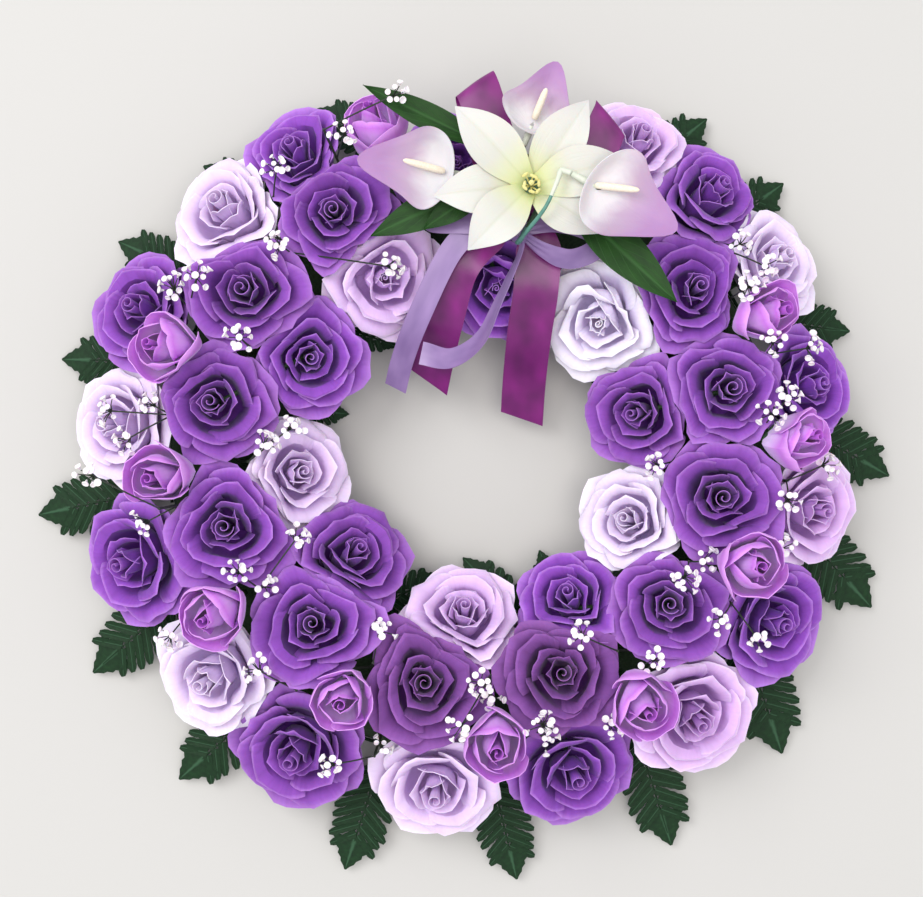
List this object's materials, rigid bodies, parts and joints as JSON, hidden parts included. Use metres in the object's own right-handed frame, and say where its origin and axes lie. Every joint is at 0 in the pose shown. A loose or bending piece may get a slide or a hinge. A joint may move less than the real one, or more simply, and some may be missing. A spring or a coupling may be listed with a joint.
{
  "type": "funeral wreath",
  "caption": "Round funeral wreath of silk roses, rosebuds, lily spray, baby's breath and fern on a foam ring, with satin bows whose tails hang into the hole.",
  "frame": {"origin": "middle of the underside of the bounding box, on the plane of the foam ring's flat back", "axes": "+Z out of the flat back through the flowers, +Y towards the bows and the lily spray, +X to the right seen from the front"},
  "size_m": [0.5072, 0.4668, 0.1133],
  "materials": {
    "foam": "dark green open-cell florist foam, matte",
    "fern": "dark green printed fabric leaf with paler veins, semi-matte",
    "silk_purple": "dark violet polyester silk with paler lilac petal edges",
    "silk_light": "white to lilac shaded polyester silk",
    "silk_bud": "orchid pink to white shaded polyester silk",
    "babys_breath": "moulded white florets with a pink tinge on dark stems",
    "lily_white": "white polyester silk with a greenish cream middle",
    "calla_lilac": "white to lilac-pink shaded coated silk",
    "leaf_green": "dark green coated fabric leaf and wrapped stem, satin sheen",
    "satin_plum": "deep plum satin ribbon, glossy",
    "satin_lavender": "lavender satin ribbon, glossy"
  },
  "bodies": {
    "root": {"babys_breath_1": "babys_breath", "babys_breath_2": "babys_breath", "babys_breath_3": "babys_breath", "babys_breath_4": "babys_breath", "babys_breath_5": "babys_breath", "babys_breath_6": "babys_breath", "bow_lavender": "satin_lavender", "bow_plum": "satin_plum", "calla_left": "calla_lilac", "calla_right": "calla_lilac", "calla_top": "calla_lilac", "fern_inner_1": "fern", "fern_inner_2": "fern", "fern_inner_3": "fern", "fern_inner_4": "fern", "fern_outer_1": "fern", "fern_outer_2": "fern", "fern_outer_3": "fern", "fern_outer_4": "fern", "foam_ring": "foam", "lily_flower": "lily_white", "rose_light_a": "silk_light", "rose_light_b": "silk_light", "rose_light_c": "silk_light", "rose_light_d": "silk_light", "rose_light_e": "silk_light", "rose_light_f": "silk_light", "rose_light_g": "silk_light", "rose_light_h": "silk_light", "rose_light_i": "silk_light", "rose_light_j": "silk_light", "rose_light_k": "silk_light", "rose_light_l": "silk_light", "rose_light_m": "silk_light", "rose_purple_ba": "silk_purple", "rose_purple_cd": "silk_purple", "rose_purple_fe": "silk_purple", "rose_purple_gh": "silk_purple", "rose_purple_ji": "silk_purple", "rose_purple_k": "silk_purple", "rose_purple_l": "silk_purple", "rose_purple_mn": "silk_purple", "rose_purple_po": "silk_purple", "rose_purple_q": "silk_purple", "rose_purple_r": "silk_purple", "rose_purple_ts": "silk_purple", "rose_purple_u": "silk_purple", "rose_purple_vz": "silk_purple", "rose_purple_xy": "silk_purple", "rosebud_a": "silk_bud", "rosebud_b": "silk_bud", "rosebud_c": "silk_bud", "rosebud_d": "silk_bud", "rosebud_e": "silk_bud", "rosebud_f": "silk_bud", "rosebud_g": "silk_bud", "rosebud_h": "silk_bud", "rosebud_i": "silk_bud", "rosebud_j": "silk_bud", "spray_stem": "leaf_green"}
  },
  "joints": []
}
